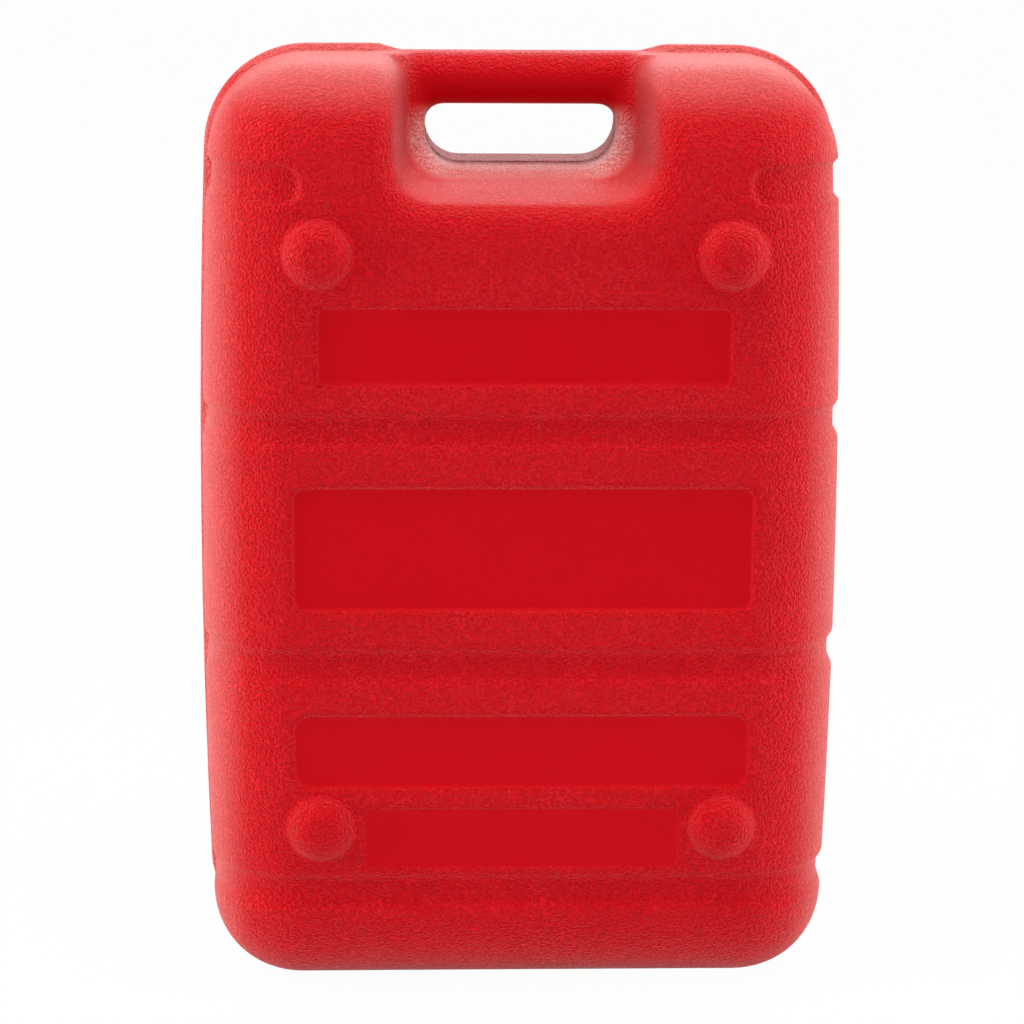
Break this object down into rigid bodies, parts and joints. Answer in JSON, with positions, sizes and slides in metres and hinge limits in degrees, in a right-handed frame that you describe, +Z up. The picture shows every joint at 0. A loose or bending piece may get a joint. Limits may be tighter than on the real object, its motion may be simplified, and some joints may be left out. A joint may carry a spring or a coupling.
{
  "type": "outboard fuel tank",
  "caption": "Portable blow-moulded fuel tank for an outboard motor: carrying handle, screw cap with vent, float gauge, and swivelling outlet with check valve.",
  "frame": {"origin": "centre of the flat end that the tank stands on, on its plane of symmetry and on the mould's parting plane", "axes": "+Z up along the tank's length, towards the carrying handle; +X across its width, the way the outlet nipple points; +Y through its depth, from the parting plane towards the deck with the cap and gauge, so the underside with its four feet faces -Y"},
  "size_m": [0.3378, 0.2185, 0.4852],
  "materials": {
    "red_plastic": "grained, semi-gloss blow-moulded polyethylene",
    "black_plastic": "satin moulded nylon",
    "white_plastic": "natural acetal",
    "float_plastic": "fine closed-cell foam skin",
    "seal_rubber": "matt nitrile rubber",
    "brass": "turned",
    "steel": "plain stainless",
    "aluminium_tube": "drawn, satin",
    "dial": "printed plate",
    "pointer": "satin",
    "clear_lens": "clear, polished"
  },
  "bodies": {
    "tank": {"tank_shell": "red_plastic", "head_gasket": "seal_rubber", "head": "black_plastic", "dial_plate": "dial", "lens_seal": "seal_rubber", "lens": "clear_lens", "lens_bezel": "black_plastic", "guide_rod_1": "aluminium_tube", "guide_rod_2": "aluminium_tube", "frame_foot": "white_plastic", "pickup_tube": "aluminium_tube", "pickup_screen": "white_plastic", "elbow_retainer": "black_plastic", "head_screw_1": "steel", "head_screw_2": "steel", "head_screw_3": "steel", "head_screw_4": "steel", "head_screw_5": "steel", "head_screw_6": "steel", "screw_insert_1": "brass", "screw_insert_2": "brass", "screw_insert_3": "brass", "screw_insert_4": "brass", "screw_insert_5": "brass", "screw_insert_6": "brass"},
    "cap_seal": {"cap_gasket": "seal_rubber"},
    "baffle": {"cap_baffle": "white_plastic"},
    "cap": {"filler_cap": "black_plastic", "vent_insert": "brass"},
    "vent_washer": {"vent_seal": "seal_rubber"},
    "vent": {"vent_screw": "black_plastic"},
    "elbow": {"outlet_elbow": "brass", "swivel_seal": "seal_rubber", "outlet_nipple": "brass", "spring_seat": "brass", "poppet_spring": "steel"},
    "poppet": {"check_poppet": "brass", "poppet_seal": "seal_rubber"},
    "float": {"gauge_float": "float_plastic", "float_follower": "white_plastic"},
    "spindle": {"twist_strip": "steel", "pointer": "pointer"}
  },
  "joints": [
    {"name": "cap_lift_off", "type": "slide", "parent": "tank", "child": "cap_seal", "axis": [0, 1, 0], "range_m": [0, 0.15]},
    {"name": "cap_rise", "type": "slide", "parent": "cap_seal", "child": "baffle", "axis": [0, 1, 0], "range_m": [0, 0.0076]},
    {"name": "cap_turn", "type": "hinge", "parent": "baffle", "child": "cap", "pos_m": [-0.062, 0.09, 0.327], "axis": [0, 1, 0], "range_deg": [0, 450]},
    {"name": "vent_rise", "type": "slide", "parent": "cap", "child": "vent_washer", "axis": [0, 1, 0], "range_m": [0, 0.0017]},
    {"name": "vent_turn", "type": "hinge", "parent": "vent_washer", "child": "vent", "pos_m": [-0.062, 0.102, 0.327], "axis": [0, 1, 0], "range_deg": [0, 720]},
    {"name": "outlet_swivel", "type": "hinge", "parent": "tank", "child": "elbow", "pos_m": [0.082, 0.0868, 0.327], "axis": [0, 1, 0], "continuous": true},
    {"name": "check_valve_slide", "type": "slide", "parent": "elbow", "child": "poppet", "axis": [1, 0, 0], "range_m": [-0.0025, 0], "stiffness_N_per_m": 200, "springref_m": 0.002, "deforming": ["poppet_spring"]},
    {"name": "float_travel", "type": "slide", "parent": "tank", "child": "float", "axis": [0, 1, 0], "range_m": [0, 0.114]},
    {"name": "spindle_turn", "type": "hinge", "parent": "tank", "child": "spindle", "pos_m": [0.045, 0, 0.327], "axis": [0, 1, 0], "range_deg": [-270, 0]}
  ],
  "couplings": [
    {"joint": "cap_rise", "follows": "cap_turn", "m_per_rad": 0.00095493},
    {"joint": "vent_rise", "follows": "vent_turn", "m_per_rad": 0.00012732},
    {"joint": "spindle_turn", "follows": "float_travel", "rad_per_m": -41.337}
  ]
}
